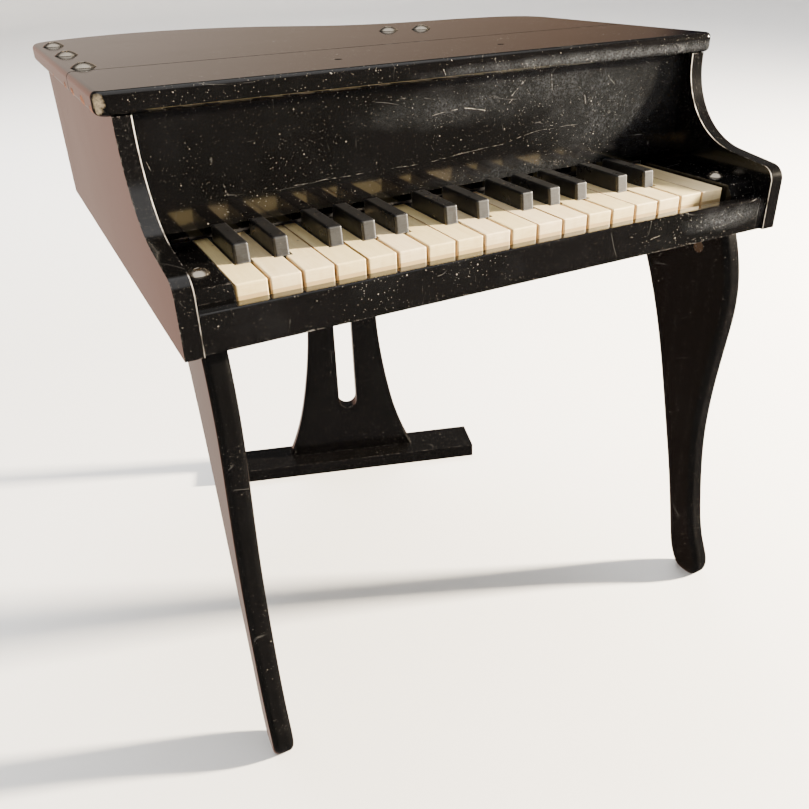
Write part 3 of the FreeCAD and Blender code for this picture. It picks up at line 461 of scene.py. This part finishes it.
def metal(name, colour, rough, brushed="Z", dull=(0.30, 0.27, 0.22)):
    """Plated or plain metal: fine brushing, and fingermarks that dull it in patches."""
    material, tree, shader = new_material(name)
    place = coordinates(tree)
    line = noise(tree, squeezed(tree, place, brushed, 0.03), 2400.0, 3.0)
    stain = ramp(tree, noise(tree, place, 260.0, 4.0), [(0.5, 0.0), (0.78, 1.0)])
    tone = mix(tree, product(tree, stain, 0.5), colour, dull)
    link(tree, tone, shader.inputs["Base Color"])
    shader.inputs["Metallic"].default_value = 1.0
    gloss = maths(tree, "ADD", product(tree, line, 0.12), product(tree, stain, 0.18))
    link(tree, maths(tree, "ADD", gloss, rough, True), shader.inputs["Roughness"])
    bump(tree, shader, line, 0.12, 0.00008)
    return material


def felt(name, colour):
    """Pressed felt: short tangled fibres."""
    material, tree, shader = new_material(name)
    place = coordinates(tree)
    fibre = noise(tree, place, 1500.0, 8.0, 0.8)
    clump = noise(tree, place, 160.0, 4.0)
    tone = mix(tree, fibre, shade(colour, 0.45), colour)
    tone = mix(tree, product(tree, clump, 0.35), tone, shade(colour, 0.7))
    link(tree, tone, shader.inputs["Base Color"])
    link(tree, ramp(tree, fibre, [(0.2, 0.82), (0.9, 1.0)]), shader.inputs["Roughness"])
    shader.inputs["Sheen Weight"].default_value = 0.12
    shader.inputs["Sheen Roughness"].default_value = 0.5
    bump(tree, shader, fibre, 0.7, 0.0006)
    return material


# ------------------------------------------------------------------ wear on the object
LID_FRONT = -150.0
LID_LEFT = -250.5
LID_TOP = 492.0
FALL_FACE = -139.0
RAIL_FACE = -248.0
SEAM = -35.5
ARM_INNER = 229.5


def on_fall(*pairs):
    return [(x, FALL_FACE, z) for x, z in pairs]


def on_rail(*pairs):
    return [(x, RAIL_FACE, z) for x, z in pairs]


def on_lid_front(*pairs):
    return [(x, LID_FRONT, z) for x, z in pairs]


def lid_edge_chip(y, z, half_length, half_height):
    """A torn patch of raw wood along the lid's lower left edge."""
    return (LID_LEFT, y, z), (9.0, half_length, half_height), RAW_WOOD


fall_scratches = [
    (0.26, on_fall((-126, 416.6), (-82, 417.5), (-13, 418.6), (18, 421.7), (50, 423.8), (82, 430.2),
                   (125, 431.3))),
    (0.50, on_fall((56.9, 459.1), (70.5, 470.5))),
    (0.45, on_fall((55.4, 454.3), (66.5, 466.0))),
    (0.70, on_fall((-12.8, 452.3), (7.9, 454.3))),
    (0.80, on_fall((14.9, 454.4), (31.6, 451.5))),
    (0.40, on_fall((93.9, 471.4), (96.2, 450.2))),
    (0.40, on_fall((-224.5, 445.7), (-222.5, 440.2))),
    (0.40, on_fall((-176.4, 424.6), (-173.6, 416.0))),
    (0.40, on_fall((118, 463), (127, 455), (129, 446))),
    (0.40, on_fall((150, 466), (158, 458))),
]
fall_hazes = [
    ((105, FALL_FACE, 462), (150, 25, 26)),
    ((150, FALL_FACE, 438), (85, 25, 48)),
    ((10, FALL_FACE, 456), (95, 25, 16)),
    ((80, FALL_FACE, 402), (120, 25, 14)),
]
lid_scratches = [
    (0.9, on_lid_front((-98.5, 491.6), (-95.5, 489.6))),
    (1.1, on_lid_front((-63.4, 490.6), (-62.6, 488.4))),
    (0.5, on_lid_front((33.2, 489.8), (35.2, 486.0))),
    (0.5, on_lid_front((-9.6, 484.6), (-7.6, 480.6))),
    (0.6, [(-76, -97, LID_TOP), (-71, -97, LID_TOP)]),
    (0.45, [(-4, -92, LID_TOP), (6, -90, LID_TOP)]),
]
lid_hazes = [((140, LID_FRONT, 482), (190, 7.0, 6.0))]
lid_chips = [
    ((-251.0, -149.4, 485.5), (7.0, 5.4, 9.4), CREAM),
    lid_edge_chip(-136.0, 479.4, 7.0, 4.4),
    lid_edge_chip(-101.0, 480.0, 11.0, 5.2),
    lid_edge_chip(-52.0, 479.8, 8.5, 4.9),
]
rear_chips = [
    lid_edge_chip(-14.0, 479.6, 7.0, 4.6),
    lid_edge_chip(61.0, 478.6, 5.0, 3.6),
]
rail_scratches = [
    (0.5, on_rail((150, 374), (163, 371))),
    (0.4, on_rail((182, 363), (197, 366))),
    (0.4, on_rail((199, 372), (209, 366))),
    (0.4, on_rail((112, 365), (121, 367))),
]
rail_hazes = [((190, RAIL_FACE, 369), (50, 10, 10))]

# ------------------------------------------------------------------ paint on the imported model
lid_look = {"dust": 0.70, "wear": 0.55, "scuff": 0.30, "seed": 1.0, "rough": 0.06, "groove": SEAM}
lid_paint = lacquer("lid_lacquer", scratches=lid_scratches, hazes=lid_hazes, chips=lid_chips, film=1.15,
                    **lid_look)
rear_paint = lacquer("lid_rear_lacquer", chips=rear_chips, **lid_look)
side_paint = lacquer("side_lacquer", dust=0.22, wear=0.75, scuff=0.22, seed=4.0, rough=0.09,
                     arm_edge=ARM_INNER)
fall_paint = lacquer("fallboard_lacquer", dust=0.60, wear=0.20, scuff=0.40, seed=2.0, rough=0.05,
                     scratches=fall_scratches, hazes=fall_hazes)
rail_paint = lacquer("rail_lacquer", dust=0.65, wear=0.70, scuff=0.60, seed=7.0, rough=0.08,
                     scratches=rail_scratches, hazes=rail_hazes, film=0.90)
leg_paint = lacquer("leg_lacquer", dust=0.26, wear=0.50, scuff=0.25, seed=9.0, rough=0.09)
raw_ply = wood("raw_plywood", (0.66, 0.50, 0.32), (0.43, 0.29, 0.16), "X", 0.55)
nickel = metal("nickel_plate", (0.56, 0.49, 0.40), 0.16)
steel = metal("plain_steel", (0.52, 0.52, 0.53), 0.30, "Y")
black_felt = felt("black_felt", (0.020, 0.018, 0.018))
black_paint = key_black("black_key_paint")


def paint(node, material):
    """Give a CAD node one material all over."""
    mesh = nodes[node].data
    mesh.materials.clear()
    mesh.materials.append(material)
    for polygon in mesh.polygons:
        polygon.material_index = 0


painted = [
    (lid_paint, ("lid_front",)),
    (rear_paint, ("lid_rear",)),
    (side_paint, ("side_panel_left", "side_panel_right", "curved_wall")),
    (fall_paint, ("fallboard",)),
    (rail_paint, ("front_rail", "end_block_left", "end_block_right")),
    (leg_paint, ("front_leg_left", "front_leg_right", "rear_leg", "rear_foot_bar", "bottom_board",
                 "key_stop_rail")),
    (raw_ply, ("rest_rail", "tone_rail", "lid_brace")),
    (nickel, ("lid_bolts", "leg_bolts", "rear_leg_bolts", "barrel_nuts")),
    (steel, ("foot_bar_screws", "key_pivot_rod", "rod_brackets", "tone_clamp_bar", "tone_rods")),
    (black_felt, ("front_stop_felt", "rest_felt", "key_stop_felt")),
]
for material, names in painted:
    for name in names:
        paint(name, material)

# the white keys take one of five tones, some paler and some warmer
WARMTHS = (0.9, 0.2, 1.0, 0.5, 0.0)
WHITE_KEYS, BLACK_KEYS = 18, 12
tones = random.Random(7)
white_paints = [key_wood(f"white_key_wood_{n}", 0.93 + 0.015 * n, warmth, 1.0 + 1.7 * n)
                for n, warmth in enumerate(WARMTHS)]
for number in range(1, WHITE_KEYS + 1):
    paint(f"white_key_{number:02d}", white_paints[tones.randrange(5)])
for number in range(1, BLACK_KEYS + 1):
    paint(f"black_key_{number:02d}", black_paint)


# ------------------------------------------------------------------ bolts
ROUND = 72
DOME_SHARES = (0.985, 0.95, 0.88, 0.78, 0.66, 0.55, 0.47, 0.42)
# the eased rim under each dome, and the lip of its socket
RIM, RIM_TALL, RIM_EASE = 0.4, 0.25, 0.05
SOCKET_LIP, SOCKET_BEVEL = 0.22, 0.2
BLOCK_TOP, BOARD_TOP = 389.3, 360.0
BLOCK_BOLT_X, BLOCK_BOLT_Y = 216.4, -204.8


def add_ring(work, centre, radius, height, six=False):
    """A ring of points round a bolt's axis; six makes it a hexagon of that half width."""
    row = []
    for step in range(ROUND):
        angle = 2.0 * math.pi * step / ROUND
        reach = radius
        if six:
            turn = math.radians(60.0)
            reach = radius * math.cos(turn / 2.0) / math.cos(angle % turn - turn / 2.0)
        x, y = centre[0] + reach * math.cos(angle), centre[1] + reach * math.sin(angle)
        row.append(work.verts.new((x * MM, y * MM, height * MM)))
    return row


def add_bolt(work, centre, head, rise, seat, hexagon, depth, shank, tip):
    """A dome head of radius head on its shank, with a hexagon socket of the given depth."""
    ball = (head * head + rise * rise) / (2.0 * rise)
    summit = seat + rise

    def dome(radius):
        return summit - ball + math.sqrt(ball * ball - radius * radius)

    rings = [
        add_ring(work, centre, shank, tip),
        add_ring(work, centre, shank, seat),
        add_ring(work, centre, head - RIM, seat),
        add_ring(work, centre, head - RIM_EASE, seat + RIM_TALL),
    ]
    rings += [add_ring(work, centre, head * share, dome(head * share)) for share in DOME_SHARES]
    rings += [
        add_ring(work, centre, hexagon + SOCKET_LIP, dome(hexagon), True),
        add_ring(work, centre, hexagon, dome(hexagon) - SOCKET_BEVEL, True),
        add_ring(work, centre, hexagon, summit - depth, True),
    ]
    for low_ring, high_ring in zip(rings, rings[1:]):
        for step in range(ROUND):
            follow = (step + 1) % ROUND
            work.faces.new((low_ring[step], low_ring[follow], high_ring[follow], high_ring[step]))
    work.faces.new(rings[-1])
    work.faces.new(tuple(reversed(rings[0])))


def bolt_set(name, node, places, **sizes):
    """The bolts of one CAD node, with smooth dome heads."""
    work = bmesh.new()
    for centre in places:
        add_bolt(work, centre, **sizes)
    mesh = bpy.data.meshes.new(name)
    bmesh.ops.recalc_face_normals(work, faces=work.faces)
    work.to_mesh(mesh)
    work.free()
    for polygon in mesh.polygons:
        polygon.use_smooth = True
    mesh.set_sharp_from_angle(angle=math.radians(33.0))
    mesh.materials.append(nickel)
    piece = bpy.data.objects.new(name, mesh)
    bpy.context.scene.collection.objects.link(piece)
    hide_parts(node)
    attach(piece, CASE)


lid_bolt_places = [(-235.6, -13.0), (-235.6, 82.0), (-235.6, 172.0), (57.5, 75.1), (87.9, 65.5)]
bolt_set("lid_bolt_heads", "lid_bolts", lid_bolt_places,
         head=9.3, rise=3.7, seat=LID_TOP, hexagon=3.3, depth=2.3, shank=3.0, tip=450.0)
bolt_set("leg_bolt_heads", "leg_bolts", [(-BLOCK_BOLT_X, BLOCK_BOLT_Y), (BLOCK_BOLT_X, BLOCK_BOLT_Y)],
         head=7.4, rise=3.3, seat=BLOCK_TOP, hexagon=2.6, depth=2.2, shank=3.0, tip=324.0)
bolt_set("rear_leg_bolt_heads", "rear_leg_bolts", [(-19.9, 121.3), (25.8, 106.9)],
         head=7.4, rise=3.3, seat=BOARD_TOP, hexagon=2.6, depth=2.3, shank=3.0, tip=324.0)

# ------------------------------------------------------------------ floor
FLAT, CURVE, WALL, SIDES = 8.0, 2.5, 6.0, 96
CURVE_STEPS = 12


def studio_floor():
    """A pale round floor that curves up into a backdrop on every side."""
    work = bmesh.new()
    profile = [(0.4, 0.0), (2.0, 0.0), (4.5, 0.0), (FLAT, 0.0)]
    for step in range(1, CURVE_STEPS + 1):
        turn = math.radians(90.0 * step / CURVE_STEPS)
        profile.append((FLAT + CURVE * math.sin(turn), CURVE * (1.0 - math.cos(turn))))
    profile.append((FLAT + CURVE, WALL))
    turns = [math.tau * side / SIDES for side in range(SIDES)]
    rows = [[work.verts.new((radius * math.cos(turn), radius * math.sin(turn), z)) for turn in turns]
            for radius, z in profile]
    work.faces.new(rows[0])
    for near_row, far_row in zip(rows, rows[1:]):
        for side in range(SIDES):
            follow = (side + 1) % SIDES
            work.faces.new((near_row[side], far_row[side], far_row[follow], near_row[follow])).smooth = True
    mesh = bpy.data.meshes.new("studio_floor")
    work.to_mesh(mesh)
    work.free()
    material, tree, shader = new_material("floor_pale")
    tone = mix(tree, noise(tree, coordinates(tree), 3.0), (0.925, 0.92, 0.915), (0.945, 0.94, 0.935))
    link(tree, tone, shader.inputs["Base Color"])
    shader.inputs["Roughness"].default_value = 0.8
    shader.inputs["Specular IOR Level"].default_value = 0.1
    mesh.materials.append(material)
    piece = bpy.data.objects.new("studio_floor", mesh)
    bpy.context.scene.collection.objects.link(piece)
    return piece


floor = studio_floor()
# the lacquer mirrors the dim warm room round the studio, not the bright floor
floor.visible_glossy = False

# ------------------------------------------------------------------ room and lamps
GLOW_STRENGTH = 1.25
FRONT_ROOM = (0.12, 0.112, 0.105)
UPPER_ROOM = (0.10, 0.095, 0.09)
# the room beyond the object, from the far left to the far right
BEYOND = [
    (0.0, (0.10, 0.07, 0.05)), (0.22, (0.17, 0.115, 0.085)), (0.41, (0.84, 0.49, 0.38)),
    (0.50, (0.66, 0.55, 0.47)), (0.68, (0.42, 0.32, 0.25)), (0.80, (0.28, 0.185, 0.13)),
    (0.838, (0.22, 0.145, 0.105)), (0.850, (0.014, 0.014, 0.018)),
]


def studio_world():
    """The dim room that the lacquer mirrors, with a soft glow overhead."""
    world = bpy.data.worlds.new("studio")
    bpy.context.scene.world = world
    world.use_nodes = True
    tree = world.node_tree
    across, away, height = parts_of(tree, add(tree, "ShaderNodeTexCoord").outputs["Generated"])
    beyond = ramp(tree, maths(tree, "MULTIPLY_ADD", across, 0.5), BEYOND)
    room = mix(tree, ramp(tree, away, [(0.0, 0.0), (0.25, 1.0)]), FRONT_ROOM, beyond)
    room = mix(tree, ramp(tree, height, [(0.16, 0.0), (0.36, 1.0)]), room, UPPER_ROOM)
    room = mix(tree, ramp(tree, height, [(0.72, 0.0), (0.86, 1.0)]), room, (GLOW_STRENGTH,) * 3)
    link(tree, room, tree.nodes["Background"].inputs["Color"])
    tree.nodes["Background"].inputs["Strength"].default_value = 1.0


studio_world()


def area_light(name, place, target, size, power, colour, mirrored=False):
    """A lamp that faces its target; mirrored says whether glossy surfaces show it."""
    data = bpy.data.lights.new(name, "AREA")
    data.shape = "RECTANGLE"
    data.size, data.size_y = size
    data.energy = power
    data.color = colour
    lamp = bpy.data.objects.new(name, data)
    lamp.location = place
    aim = Vector(target) - Vector(place)
    lamp.rotation_euler = aim.to_track_quat("-Z", "Y").to_euler()
    lamp.visible_glossy = mirrored
    bpy.context.scene.collection.objects.link(lamp)


WARM, NEUTRAL = (1.0, 0.86, 0.66), (1.0, 0.99, 0.98)
area_light("sun_light", (2.75, -1.06, 1.10), (0.0, 0.0, 0.40), (0.22, 0.22), 1220.0, WARM, mirrored=True)
area_light("top_light", (0.3, 1.7, 2.9), (0.0, 0.2, 0.0), (2.4, 1.8), 150.0, NEUTRAL)
# lamps over the object that face outward and light only the round backdrop
for quarter in range(4):
    turn = math.tau * quarter / 4
    outward = Vector((math.cos(turn), math.sin(turn), 0.0))
    aim_at = (FLAT + CURVE) * outward + Vector((0.0, 0.0, 2.0))
    place = outward + Vector((0.0, 0.0, 3.0))
    area_light(f"wall_light_{quarter + 1}", place, aim_at, (1.0, 1.0), 260.0, NEUTRAL)

# ------------------------------------------------------------------ camera
# angles in radians, lens and picture width in pixels, sensor in millimetres
YAW, PITCH, ROLL = 0.4573739, 0.5163068, -0.0346824
FOCAL, WIDE, SENSOR = 810.6517, 809.0, 36.0
EYE = Vector((-0.316177, -0.691113, 0.563440))
forward = Vector((math.sin(YAW) * math.cos(PITCH), math.cos(YAW) * math.cos(PITCH), -math.sin(PITCH)))
level = Vector((math.cos(YAW), -math.sin(YAW), 0.0))
upward = level.cross(forward)
right = level * math.cos(ROLL) + upward * math.sin(ROLL)
up = upward * math.cos(ROLL) - level * math.sin(ROLL)
camera_data = bpy.data.cameras.new("camera")
camera_data.sensor_width = SENSOR
camera_data.lens = FOCAL * SENSOR / WIDE
camera_data.clip_start = 0.01
camera = bpy.data.objects.new("camera", camera_data)
turned = Matrix((right, up, -forward)).transposed().to_4x4()
camera.matrix_world = Matrix.Translation(EYE) @ turned
bpy.context.scene.collection.objects.link(camera)
bpy.context.scene.camera = camera
